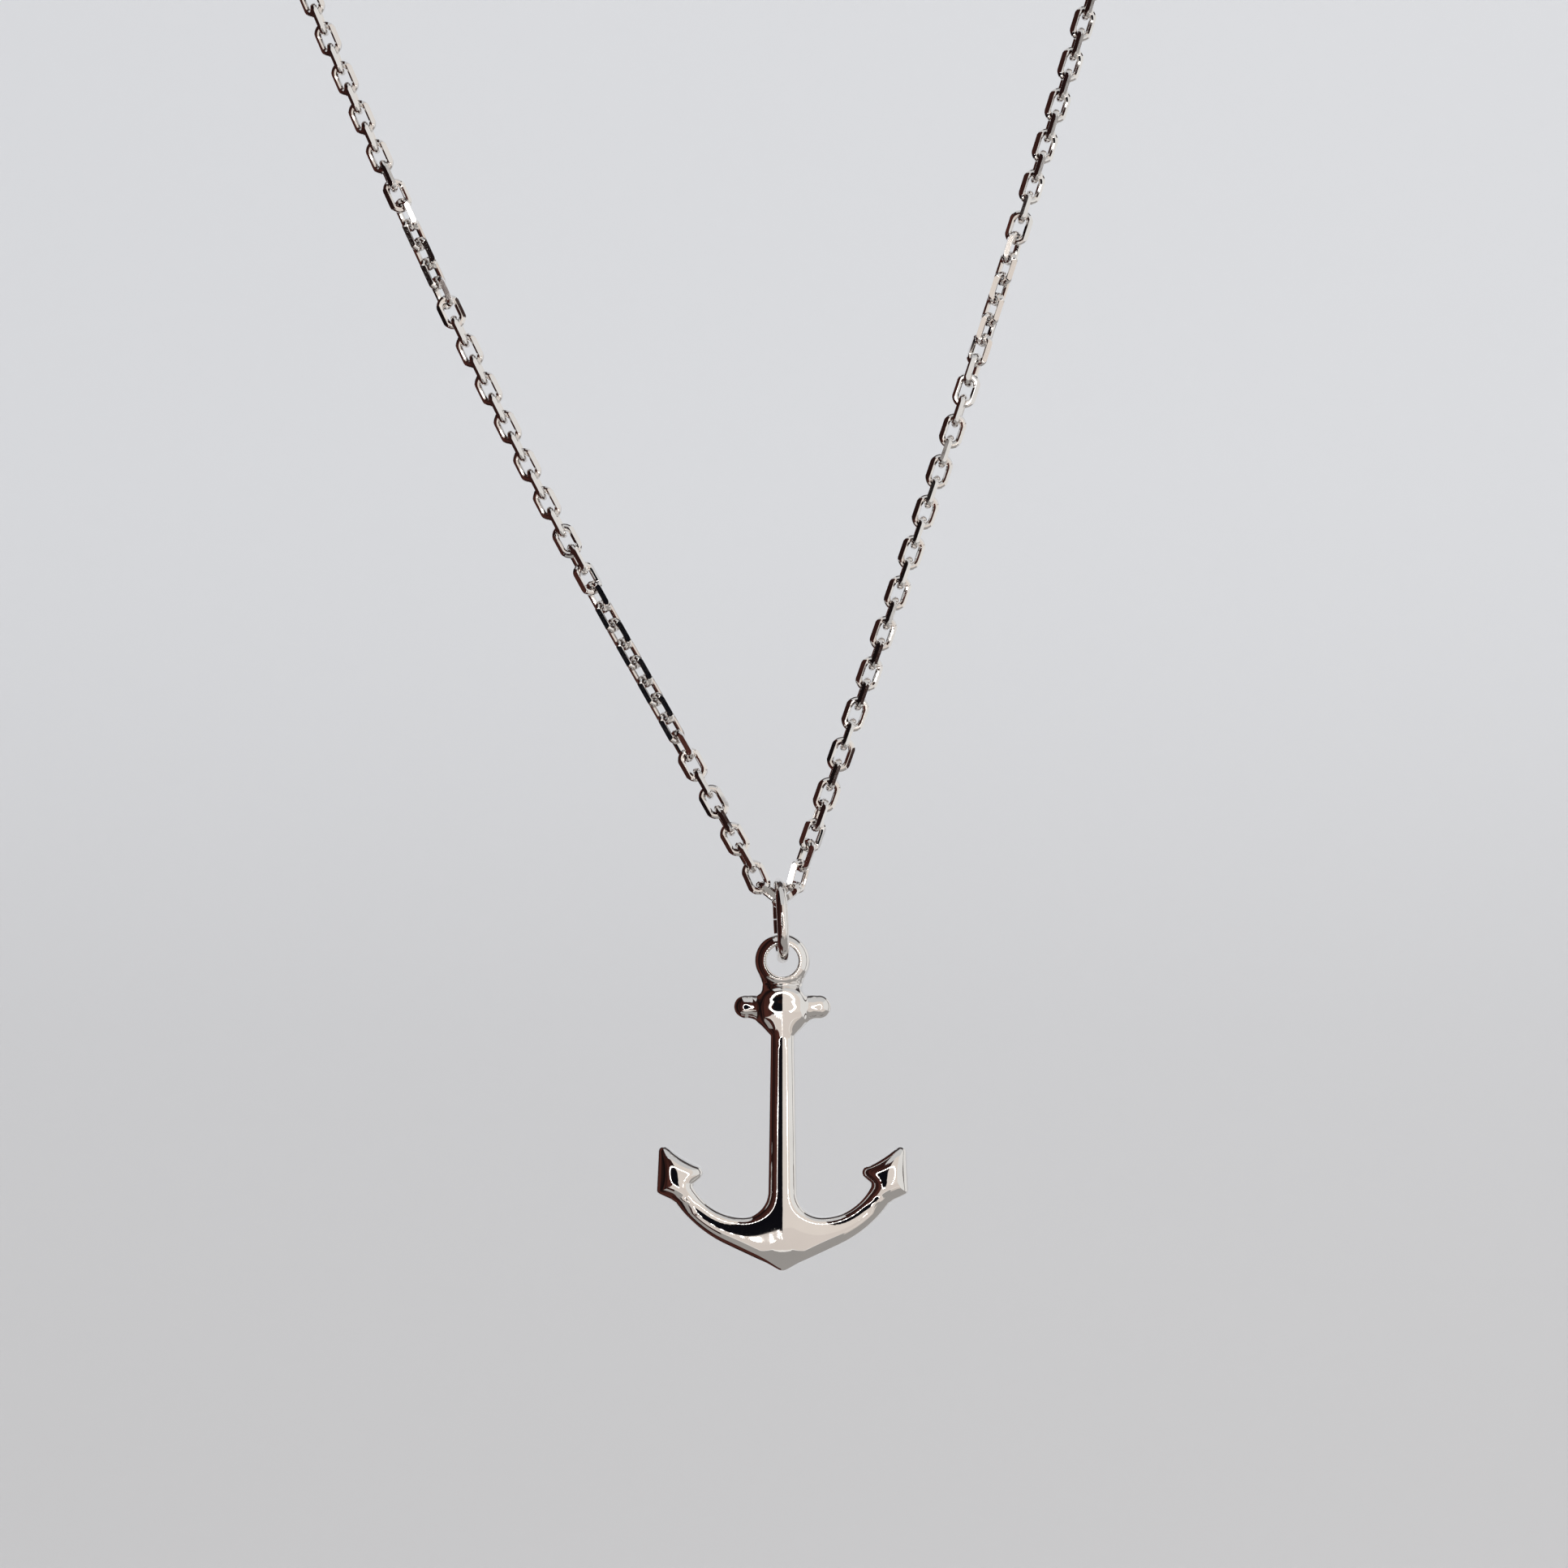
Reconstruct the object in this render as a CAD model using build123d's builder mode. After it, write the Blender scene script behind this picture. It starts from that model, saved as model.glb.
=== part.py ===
from build123d import *
from math import cos, radians, sin, tan
import os

# Anchor necklace, worn: the origin is at the nape, the anchor hangs in front.
# Lengths are in millimetres and angles in degrees. +Z is up, the front faces -Y.

# Chain: oval links of round wire with four long flat cuts
link_length = 2.10
link_width = 1.34
link_wire = 0.33
link_gap = 0.18
link_cut_across = 0.94
link_cut_turn = 45
link_quarter = 90
shown_length_left = 64.0
shown_length_right = 59.0
back_chain_diameter = 1.30
back_chain_gap = 0.15
corner_share = 0.45

# Place of the lowest joint between two links, which carries the jump ring
low_joint = Vector(6.5, -87.0, -126.0)

# Jump ring: it rides over the lowest joint of the chain
ring_wire = 0.68
ring_outside = 5.12
ring_over_chain = 0.97
ring_shift = 0.16
ring_lean = 2.6
ring_turn = 3.0

# Anchor: plate, arms and flukes
plate_thickness = 1.9
edge_round = 0.30
corner_round = 0.22
shank_half_top = 0.70
shank_half_bottom = 0.84
arm_inner_depth = 15.10
arm_root_radius = 1.50
arm_inner_radius = 3.20
arm_inner_turn = 60.7
crown_height = 3.40
fluke_reach = 2.29
fluke_rise = 2.916
fluke_width = 3.12
fluke_height = 3.78

# Anchor: points of a fluke, as shares of its width inward from its heel
# and of its height down from its tip
fluke_notch = (0.689, 0.701)
fluke_barb = (1.0, 0.479)
fluke_blade = (0.535, 0.299)
fluke_tip = (0.048, 0.0)
fluke_heel = (0.0, 0.839)
fluke_heel_low = (0.256, 0.939)
fluke_arm_corner = (0.359, 1.0)

# Anchor: points of the lower edge, as shares of the way from the crown's tip
# out and up to the corner where the arm meets the fluke
arm_low_middle = (0.797, 0.669)
arm_low_inner = (0.540, 0.420)
crown_shoulder = (0.159, 0.144)

# Anchor: eye, stock and head
eye_outside = 3.26
eye_bore = 1.90
eye_depth = 2.0
eye_round = 0.25
eye_play = 0.46
stock_depth = 2.73
stock_length = 5.74
stock_diameter = 1.20
stock_end_diameter = 1.40
stock_end_length = 0.62
stock_end_flat = 0.40
neck_half_width = 1.20
neck_round = 0.62
boss_diameter = 2.40
boss_rise = 0.22
boss_flat = 0.80

# Clasp: a plain ring with an eye at each side for the chain
clasp_outside = 5.6
clasp_wire = 1.1
clasp_eye_outside = 2.0
clasp_eye_wire = 0.5
clasp_chain_gap = 0.15

# Sizes that follow from those above
link_pitch = link_length - 2 * link_wire - link_gap
ring_radius = (ring_outside - ring_wire) / 2
ring_centre = low_joint + Vector(ring_shift, 0, ring_over_chain - ring_radius)
pivot = ring_centre + Vector(sin(radians(ring_lean)), 0, -cos(radians(ring_lean))) * ring_radius
eye_centre = pivot + Vector(0, 0, ring_wire / 2 + eye_play - eye_bore / 2)
clasp_reach = clasp_outside / 2 + clasp_eye_outside - clasp_eye_wire

# Links at the bottom of the chain: middle from the lowest joint, slope and side tilt
# of the long axis, and roll of the face about it (0 shows the face to the front)
lowest_links = [
    {"x": -0.436, "y": 0.115, "z": 0.320, "slope": 142.4, "tilt": -4.2, "roll": -74.1},
    {"x": 0.505, "y": -0.284, "z": 0.286, "slope": 39.7, "tilt": -4.7, "roll": -62.8},
    {"x": -1.299, "y": 0.014, "z": 1.264, "slope": 113.9, "tilt": -0.1, "roll": 13.9},
    {"x": 1.197, "y": -0.091, "z": 1.321, "slope": 74.0, "tilt": 6.9, "roll": 36.8},
]

# Route of the chain, from the first joint beside the lowest one to the clasp
first_joint_left = low_joint + Vector(-0.99, 0, 0.78)
first_joint_right = low_joint + Vector(0.99, 0, 0.78)
route_left = [
    (-9.2, -87.0, -99.3),
    (-21.5, -87.0, -72.4),
    (-34.2, -87.0, -39.0),
    (-38.5, -83.5, -28.5),
    (-46.5, -72.0, -22.8),
    (-51.0, -54.0, -17.0),
    (-48.5, -33.5, -11.0),
    (-36.5, -14.2, -4.9),
    (-17.6, -1.7, -1.0),
]
route_right = [
    (16.7, -87.0, -99.0),
    (25.3, -87.0, -72.0),
    (34.9, -87.0, -39.0),
    (39.2, -83.5, -28.5),
    (46.5, -72.0, -22.8),
    (51.0, -54.0, -17.0),
    (48.5, -33.5, -11.0),
    (36.5, -14.2, -4.9),
    (17.6, -1.7, -1.0),
]
clasp_middle = Vector(0, clasp_wire / 2, 0)
clasp_end = clasp_reach + clasp_eye_wire / 2 + clasp_chain_gap
route_end_left = clasp_middle - Vector(clasp_end, 0, 0)
route_end_right = clasp_middle + Vector(clasp_end, 0, 0)

# Turn of the links along each strand: share of the shown stretch, angle
turns_left = [
    (0.0, 13.9),
    (0.10, 0),
    (0.16, 45),
    (0.29, 45),
    (0.38, 0),
    (0.58, 0),
    (0.63, 45),
    (0.69, 45),
    (0.76, 0),
    (1.0, 0),
]
turns_right = [
    (0.0, -36.8),
    (0.12, 0),
    (0.48, 8),
    (0.60, 45),
    (0.66, 45),
    (0.73, 0),
    (1.0, 0),
]


def corner_radii(points):
    """Arc radius at each corner: as large as its two runs allow."""
    radii = []
    for before, corner, after in zip(points, points[1:], points[2:]):
        run_in = Vector(corner) - Vector(before)
        run_out = Vector(after) - Vector(corner)
        half_turn = radians(run_in.get_angle(run_out)) / 2
        radii.append(corner_share * min(run_in.length, run_out.length) / tan(half_turn))
    return radii


def turn_at(turns, share):
    """Angle at a share of the strand, straight between the rows of the table."""
    for (share_a, turn_a), (share_b, turn_b) in zip(turns, turns[1:]):
        if share <= share_b:
            return turn_a + (turn_b - turn_a) * (share - share_a) / (share_b - share_a)
    return turns[-1][1]


def link_plane(centre, axis, roll):
    """Plane of a link: Z along the link, X across its face."""
    across = Vector(0, 1, 0).cross(axis).normalized()
    face = across * cos(radians(roll)) + axis.cross(across) * sin(radians(roll))
    return Plane(origin=centre, x_dir=face, z_dir=axis)


def strand_planes(path, shown_length, turns, side):
    """Planes of the links of one strand past its first, and the joint that it ends at."""
    count = int(shown_length / link_pitch)
    joints = []
    for index in range(count + 1):
        joints.append(path.position_at(index * link_pitch, position_mode=PositionMode.LENGTH))
    planes = []
    for index in range(1, count):
        centre = (joints[index] + joints[index + 1]) / 2
        axis = (joints[index + 1] - joints[index]).normalized()
        roll = link_quarter * index + side * turn_at(turns, index / count)
        planes.append(link_plane(centre, axis, roll))
    return planes, joints[-1], axis


# Chain link, standing along Z with its face across X
with BuildPart() as link:
    half_run = (link_length - link_width) / 2
    bend = (link_width - link_wire) / 2
    with BuildLine(Plane.XZ) as link_path:
        right_run = Line((bend, -half_run), (bend, half_run))
        top_bend = ThreePointArc((bend, half_run), (0, half_run + bend), (-bend, half_run))
        left_run = Line((-bend, half_run), (-bend, -half_run))
        low_bend = ThreePointArc((-bend, -half_run), (0, -half_run - bend), (bend, -half_run))
    with BuildSketch(Plane(origin=(bend, 0, -half_run), z_dir=(0, 0, 1))):
        Circle(link_wire / 2)
    sweep(path=link_path.wire())
    Box(
        link_cut_across,
        link_cut_across,
        link_length,
        rotation=(0, 0, link_cut_turn),
        mode=Mode.INTERSECT,
    )

# Paths of the two strands
paths = []
for first, route, last in (
    (first_joint_left, route_left, route_end_left),
    (first_joint_right, route_right, route_end_right),
):
    points = [first, *route, last]
    radii = corner_radii(points)
    print("route radii", [round(radius, 1) for radius in radii])
    with BuildLine() as strand:
        FilletPolyline(*points, radius=radii)
    paths.append(strand.wire())

left_planes, left_joint, left_axis = strand_planes(
    paths[0], shown_length_left, turns_left, 1
)
right_planes, right_joint, right_axis = strand_planes(
    paths[1], shown_length_right, turns_right, -1
)

low_planes = []
for row in lowest_links:
    axis = Vector(
        cos(radians(row["tilt"])) * cos(radians(row["slope"])),
        sin(radians(row["tilt"])),
        cos(radians(row["tilt"])) * sin(radians(row["slope"])),
    )
    centre = low_joint + Vector(row["x"], row["y"], row["z"])
    low_planes.append(link_plane(centre, axis, row["roll"]))

# Front of the chain: one solid for each link, clear of its neighbours
link_planes = [*low_planes, *left_planes, *right_planes]
chain_front = Compound([link.part.solid().moved(Location(plane)) for plane in link_planes])

# Back of the chain: a tube along each side of the neck
back_start = (link_length - link_pitch) / 2 + back_chain_gap
with BuildPart() as chain_back:
    for joint, axis, route, last in (
        (left_joint, left_axis, route_left, route_end_left),
        (right_joint, right_axis, route_right, route_end_right),
    ):
        start = joint + axis * back_start
        points = [start, *[point for point in route if point[2] > start.Z], last]
        with BuildLine() as tube_path:
            FilletPolyline(*points, radius=corner_radii(points))
        with BuildSketch(Plane(origin=start, z_dir=axis)):
            Circle(back_chain_diameter / 2)
        sweep(path=tube_path.wire())
        print("tube length", round(tube_path.wire().length, 2))

# Jump ring
ring_normal = Vector(
    cos(radians(ring_lean)),
    tan(radians(ring_turn)),
    sin(radians(ring_lean)),
)
with BuildPart() as jump_ring:
    with Locations(Plane(origin=ring_centre, z_dir=ring_normal)):
        Torus(ring_radius, ring_wire / 2)

# Anchor: one casting
root_x = shank_half_bottom + arm_root_radius
root_y = arm_root_radius - arm_inner_depth
inner_y = arm_inner_radius - arm_inner_depth
turned = radians(arm_inner_turn)
arm_end_x = root_x + arm_inner_radius * sin(turned)
arm_end_y = inner_y - arm_inner_radius * cos(turned)
crown_tip = (0, -arm_inner_depth - crown_height)


def fluke_point(share):
    """Point of a fluke, from its heel inward and from its tip down."""
    return (
        arm_end_x + fluke_reach - share[0] * fluke_width,
        arm_end_y + fluke_rise - share[1] * fluke_height,
    )


arm_corner = fluke_point(fluke_arm_corner)


def low_point(share):
    """Point of the lower edge, from the crown's tip towards the fluke."""
    return (share[0] * arm_corner[0], crown_tip[1] + share[1] * (arm_corner[1] - crown_tip[1]))


anchor_plane = Plane(origin=eye_centre, x_dir=(1, 0, 0), z_dir=(0, -1, 0))
stock_top = -stock_depth + stock_diameter / 2
stock_low = -stock_depth - stock_diameter / 2
flare_x = neck_half_width + neck_round
barb = fluke_point(fluke_barb)
tip = fluke_point(fluke_tip)
heel = fluke_point(fluke_heel)
stock_end = stock_length / 2
stock_middle = eye_centre - Vector(0, 0, stock_depth)

with BuildPart() as anchor:
    # Half of the outline, from the neck round the arm to the tip of the crown
    with BuildSketch(anchor_plane) as outline:
        with BuildLine():
            neck = Polyline(
                (0, -eye_bore),
                (neck_half_width, -eye_bore),
                (neck_half_width, stock_top + neck_round),
            )
            RadiusArc(neck @ 1, (flare_x, stock_top), neck_round)
            Polyline(
                (flare_x, stock_top),
                (flare_x, stock_low),
                (shank_half_top, stock_low - (flare_x - shank_half_top)),
                (shank_half_bottom, root_y),
            )
            CenterArc((root_x, root_y), arm_root_radius, 180, 90)
            inner = CenterArc((root_x, inner_y), arm_inner_radius, -90, arm_inner_turn)
            Polyline(inner @ 1, fluke_point(fluke_notch), barb)
            ThreePointArc(barb, fluke_point(fluke_blade), tip)
            outside = Polyline(tip, heel, fluke_point(fluke_heel_low), arm_corner)
            low = ThreePointArc(outside @ 1, low_point(arm_low_middle), low_point(arm_low_inner))
            Polyline(low @ 1, low_point(crown_shoulder), crown_tip, (0, -eye_bore))
        make_face()
        mirror(about=Plane.YZ)
        corners = []
        for x, y in (barb, tip, heel):
            for side in (-1, 1):
                place = anchor_plane.from_local_coords((side * x, y, 0))
                corners.append(outline.vertices().sort_by_distance(place)[0])
        fillet(corners, corner_round)
    extrude(amount=plate_thickness / 2, both=True)
    fillet(anchor.faces().filter_by(Axis.Y).edges(), edge_round)

    # Stock: a round bar that swells to rounded ends
    with BuildSketch(Plane(origin=stock_middle, x_dir=(1, 0, 0), z_dir=(0, -1, 0))):
        with BuildLine():
            bar = Polyline(
                (0, 0),
                (0, stock_diameter / 2),
                (stock_end - 2 * stock_end_length, stock_diameter / 2),
            )
            swell = Line(bar @ 1, (stock_end - stock_end_length, stock_end_diameter / 2))
            cap = RadiusArc(swell @ 1, (stock_end, stock_end_flat / 2), -stock_end_length)
            Polyline(cap @ 1, (stock_end, 0), (0, 0))
        make_face()
    half_stock = revolve(axis=Axis(stock_middle, (1, 0, 0)))
    mirror(half_stock, about=Plane(origin=stock_middle, z_dir=(1, 0, 0)))

    # Boss on the front and the back of the head
    with BuildSketch(Plane(origin=stock_middle, x_dir=(1, 0, 0), z_dir=(0, 0, 1))):
        with BuildLine():
            rim = (boss_diameter / 2, plate_thickness / 2)
            flat = (boss_flat / 2, plate_thickness / 2 + boss_rise)
            RadiusArc(rim, flat, boss_diameter)
            Polyline(flat, (0, plate_thickness / 2 + boss_rise), (0, 0), (boss_diameter / 2, 0), rim)
        make_face()
    half_boss = revolve(axis=Axis(stock_middle, (0, 1, 0)))
    mirror(half_boss, about=Plane(origin=stock_middle, z_dir=(0, 1, 0)))

    # Eye: a deep ring with softened edges
    with BuildSketch(Plane(origin=eye_centre, x_dir=(1, 0, 0), z_dir=(0, 0, 1))) as eye_section:
        with Locations(((eye_bore + eye_outside) / 4, 0)):
            RectangleRounded((eye_outside - eye_bore) / 2, eye_depth, eye_round)
    revolve(axis=Axis(eye_centre, (0, 1, 0)))

# Clasp
with BuildPart() as clasp:
    with Locations(Plane(origin=clasp_middle, z_dir=(0, 1, 0))):
        Torus((clasp_outside - clasp_wire) / 2, clasp_wire / 2)
    for side in (-1, 1):
        clasp_eye_middle = clasp_middle + Vector(side * (clasp_reach - clasp_eye_outside / 2), 0, 0)
        with Locations(clasp_eye_middle):
            Cylinder(clasp_eye_outside / 2, clasp_eye_wire)
            Cylinder(clasp_eye_outside / 2 - clasp_eye_wire, clasp_eye_wire, mode=Mode.SUBTRACT)

os.makedirs("parts", exist_ok=True)
anchor.part.label = "anchor"
jump_ring.part.label = "jump_ring"
chain_front.label = "chain_front"
chain_back.part.label = "chain_back"
clasp.part.label = "clasp"
export_step(anchor.part, "parts/anchor.step")
export_step(jump_ring.part, "parts/jump_ring.step")
export_step(chain_front, "parts/chain_front.step")
export_step(chain_back.part, "parts/chain_back.step")
export_step(clasp.part, "parts/clasp.step")
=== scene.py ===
import math

import bmesh
import bpy
import numpy as np
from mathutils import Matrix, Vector


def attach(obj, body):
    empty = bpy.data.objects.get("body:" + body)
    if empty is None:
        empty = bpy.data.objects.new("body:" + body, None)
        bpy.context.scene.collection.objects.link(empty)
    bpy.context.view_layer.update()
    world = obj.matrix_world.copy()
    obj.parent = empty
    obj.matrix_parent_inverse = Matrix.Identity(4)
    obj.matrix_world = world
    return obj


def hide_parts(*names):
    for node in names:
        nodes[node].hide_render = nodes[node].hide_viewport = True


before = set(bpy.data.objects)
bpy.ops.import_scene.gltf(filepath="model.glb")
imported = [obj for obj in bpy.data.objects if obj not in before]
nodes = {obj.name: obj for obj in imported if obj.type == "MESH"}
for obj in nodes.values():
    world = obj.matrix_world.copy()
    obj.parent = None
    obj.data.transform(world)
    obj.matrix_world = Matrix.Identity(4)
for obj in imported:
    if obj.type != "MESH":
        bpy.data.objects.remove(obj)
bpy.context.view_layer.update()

# Anchor necklace: mirror-polished anchor, jump ring and fine diamond-cut cable chain.
# Sizes and places are in millimetres in the CAD frame and are scaled by MM.
MM = 0.001

# Places shared with the CAD model
EYE = (6.7607, -87.0, -129.6177)
RING_CENTRE = (6.66, -87.0, -127.25)
RING_LEAN = math.radians(2.6)
RING_TURN = math.radians(3.0)

# Jump ring: middle line and wire, then the seam's half opening in radians and its bevel
RING_RADIUS = 2.213
RING_WIRE = 0.68
RING_SEAM = 0.012
RING_BEVEL = 0.03

# Chain link: heavier wire than in the CAD source, with flats at LINK_CUT from the middle
LINK_LENGTH = 2.12
LINK_WIDTH = 1.48
LINK_WIRE = 0.42
LINK_PITCH = 1.26
LINK_CUT = 0.50
LINK_SHARP = math.radians(28)

# Route of the chain past its front stretch, as in the CAD source
ROUTE_LEFT = [
    (-34.2, -87.0, -39.0),
    (-38.5, -83.5, -28.5),
    (-46.5, -72.0, -22.8),
    (-51.0, -54.0, -17.0),
    (-48.5, -33.5, -11.0),
    (-36.5, -14.2, -4.9),
    (-17.6, -1.7, -1.0),
]
ROUTE_RIGHT = [
    (34.9, -87.0, -39.0),
    (39.2, -83.5, -28.5),
    (46.5, -72.0, -22.8),
    (51.0, -54.0, -17.0),
    (48.5, -33.5, -11.0),
    (36.5, -14.2, -4.9),
    (17.6, -1.7, -1.0),
]
CLASP_LINK = (4.42, 0.55, 0.0)  # middle of the right link in the clasp's eye

# Camera, level and square to the anchor's face
CAMERA_DISTANCE = 300.0
CAMERA = (6.849, EYE[1] - CAMERA_DISTANCE, -119.234)
HALF_FRAME = 46.2
SENSOR_WIDTH = 36.0


def new_mesh(name, points, faces, normals=None):
    """Smooth object from points in millimetres and a list or array of faces."""
    mesh = bpy.data.meshes.new(name)
    places = (np.asarray(points, float) * MM).tolist()
    mesh.from_pydata(places, [], [list(map(int, face)) for face in faces])
    mesh.polygons.foreach_set("use_smooth", [True] * len(mesh.polygons))
    if normals is not None:
        mesh.normals_split_custom_set_from_vertices(normals.tolist())
    mesh.update()
    piece = bpy.data.objects.new(name, mesh)
    bpy.context.scene.collection.objects.link(piece)
    return piece


# Anchor. Its outline is given for the right half, as (across, height) from the eye.


def arc(centre, radius, start, turn, count):
    """Points of an arc, with its start and turn in degrees."""
    angles = np.radians(start + turn * np.linspace(0, 1, count))
    return [(centre[0] + radius * math.cos(a), centre[1] + radius * math.sin(a)) for a in angles]


def arc3(a, b, c, count):
    """Points of the circle through three points, from a by b to c."""
    (ax, ay), (bx, by), (cx, cy) = a, b, c
    d = 2 * (ax * (by - cy) + bx * (cy - ay) + cx * (ay - by))
    sa, sb, sc = ax * ax + ay * ay, bx * bx + by * by, cx * cx + cy * cy
    ux = (sa * (by - cy) + sb * (cy - ay) + sc * (ay - by)) / d
    uy = (sa * (cx - bx) + sb * (ax - cx) + sc * (bx - ax)) / d
    r = math.hypot(ax - ux, ay - uy)
    t0, t1, t2 = (math.atan2(y - uy, x - ux) for x, y in (a, b, c))
    turn = (t2 - t0) % (2 * math.pi)
    if (t1 - t0) % (2 * math.pi) > turn:
        turn -= 2 * math.pi
    return arc((ux, uy), r, math.degrees(t0), math.degrees(turn), count)


def soft_corner(before, corner, after, radius, count=7):
    """Round arc that cuts a corner of the outline."""
    p, a, b = (np.array(v, float) for v in (corner, before, after))
    u, v = (a - p) / np.linalg.norm(a - p), (b - p) / np.linalg.norm(b - p)
    half = math.acos(max(-1, min(1, float(u @ v)))) / 2
    run = radius / math.tan(half)
    centre = p + (u + v) / np.linalg.norm(u + v) * radius / math.sin(half)
    start, end = p + u * run, p + v * run
    middle = centre + (p - centre) / np.linalg.norm(p - centre) * radius
    return arc3(tuple(start), tuple(middle), tuple(end), count)


# Head, its collar and the top of the shank
HEAD_TOP, HEAD_SIDE = (1.2, -1.0), (1.2, -1.51)
COLLAR_CENTRE, COLLAR_ROUND = (1.82, -1.51), 0.62
COLLAR_LOW, SHANK_TOP = (1.82, -3.33), (0.70, -4.45)
# Inner side of the arm: the round between shank and arm, then the arm's own arc
CROOK_CENTRE, CROOK_ROUND = (2.34, -13.6), 1.5
ARM_CENTRE, ARM_ROUND, ARM_TURN = (2.34, -11.9), 3.2, 58.5
# Fluke, then the outer side of the arm down to the crown
NOTCH, BARB, BLADE, TIP = (5.27, -13.20), (4.30, -12.36), (5.75, -11.68), (7.27, -10.55)
HEEL, HEEL_LOW = (7.42, -13.72), (6.62, -14.10)
ARM_OUT, ARM_MID, ARM_LOW = (6.30, -14.33), (5.02, -15.71), (3.40, -16.75)
CROWN_SIDE, CROWN = (1.0, -17.90), (0.0, -18.50)
# Radii of the softened corners
NOTCH_SOFT, BARB_SOFT, TIP_SOFT, HEEL_SOFT, CROWN_SOFT = 0.20, 0.44, 0.34, 0.26, 0.60

blade = arc3(BARB, BLADE, TIP, 12)
inner_side = [HEAD_TOP, HEAD_SIDE, *arc(COLLAR_CENTRE, COLLAR_ROUND, 180, 90, 6)]
inner_side += [COLLAR_LOW, SHANK_TOP, *arc(CROOK_CENTRE, CROOK_ROUND, 180, 90, 14)]
inner_side += arc(ARM_CENTRE, ARM_ROUND, -90, ARM_TURN, 16)
inner_side += soft_corner(inner_side[-1], NOTCH, BARB, NOTCH_SOFT, 5)
inner_side += soft_corner(NOTCH, BARB, blade[3], BARB_SOFT) + blade[3:-2]
outer_side = soft_corner(blade[-3], TIP, HEEL, TIP_SOFT)
outer_side += soft_corner(TIP, HEEL, HEEL_LOW, HEEL_SOFT)
outer_side += [HEEL_LOW, *arc3(ARM_OUT, ARM_MID, ARM_LOW, 12), CROWN_SIDE]
# Of the crown's round, only the half on the right is kept
outer_side += soft_corner(CROWN_SIDE, CROWN, (-CROWN_SIDE[0], CROWN_SIDE[1]), CROWN_SOFT, 9)[:5]
outline = np.array(inner_side + outer_side)
# Share of the outer side in the soft distance
OUTER_PULL = 0.5


def plate_maps(u, v):
    """Signed inward distance, soft distance and distance to the outer side of the outline."""
    shape = u.shape
    u, v = np.abs(u).ravel(), v.ravel()
    nearest = np.full(u.shape, 1e9)
    nearest_outer = np.full(u.shape, 1e9)
    soft = np.zeros(u.shape)
    inside = np.zeros(u.shape, bool)
    closed = np.vstack([outline, [(0.0, HEAD_TOP[1])]])
    for (ax, ay), (bx, by) in zip(closed, np.roll(closed, -1, 0)):
        crosses = (ay > v) != (by > v)
        with np.errstate(divide="ignore", invalid="ignore"):
            inside ^= crosses & (u < (bx - ax) * (v - ay) / (by - ay) + ax)
    for index, ((ax, ay), (bx, by)) in enumerate(zip(outline[:-1], outline[1:])):
        is_outer = index >= len(inner_side) - 1
        length = math.hypot(bx - ax, by - ay)
        tx, ty = (bx - ax) / length, (by - ay) / length
        for side in (1, -1):
            along = (side * u - ax) * tx + (v - ay) * ty
            off = np.abs(-(side * u - ax) * ty + (v - ay) * tx)
            reach = np.hypot(along - np.clip(along, 0, length), off)
            nearest = np.minimum(nearest, reach)
            if is_outer:
                nearest_outer = np.minimum(nearest_outer, reach)
            rest = length - along
            off2 = np.maximum(off, 1e-4) ** 2
            pull = (rest / np.sqrt(off2 + rest**2) + along / np.sqrt(off2 + along**2)) / off2
            soft += np.maximum(pull, 0) * (OUTER_PULL if is_outer else 1.0)
    distance = np.where(inside, nearest, -nearest)
    softened = np.sqrt(2 / np.maximum(soft, 1e-9))
    return distance.reshape(shape), softened.reshape(shape), nearest_outer.reshape(shape)


def smooth_max(a, b, k):
    """Larger of two values, blended where they are within k of each other."""
    h = np.clip(0.5 + (a - b) / (2 * k), 0, 1)
    return b * (1 - h) + a * h + k * h * (1 - h)


def smooth_min(a, b, k):
    """Smaller of two values, blended where they are within k of each other."""
    return -smooth_max(-a, -b, k)


def round_meet(a, b, radius):
    """Intersection with a round edge of that radius."""
    over = np.hypot(np.maximum(radius + a, 0), np.maximum(radius + b, 0))
    return np.minimum(-radius, np.maximum(a, b)) + over


def rise(value, start, run):
    """Smooth step from 0 at start to 1 at start + run."""
    t = np.clip((value - start) / run, 0, 1)
    return t * t * (3 - 2 * t)


# Faces of the plate. A rise is a start and a run, up, down or out from the eye.
HEAD_UP = (-5.2, 1.4)
FLUKE_UP, FLUKE_OUT = (-14.9, 1.8), (4.2, 1.3)
ARM_DOWN, ARM_OUTWARD = (12.0, 1.0), (1.2, 2.4)
# Saddle below the eye
SADDLE_Z, SADDLE_WIDTH, SADDLE_DEPTH = -1.5, 0.4, 0.22
# Lean: how far from the outer side it starts, by the arms and more in the middle, and its bend
LEAN_FROM, LEAN_FROM_MORE, LEAN_MIDDLE, LEAN_BEND = 2.1, 1.25, 2.4, 1.1
LEAN_SLOPE, LEAN_CURVE = 0.19, 0.012
# Pillow of the fluke: its middle, the direction of its long axis, and squares of its radii
PILLOW_X, PILLOW_Z, PILLOW_AXIS = 6.15, -12.65, (0.54, 0.84)
PILLOW_SIDES, PILLOW_ENDS = (3.6, 6.5), (9.0, 4.6)
PILLOW_TOP, PILLOW_DEPTH, PILLOW_LIFT = 1.13, 1.1, 3.0
PILLOW_UP, PILLOW_OUT = (-16.2, 2.4), (2.6, 1.4)
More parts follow.
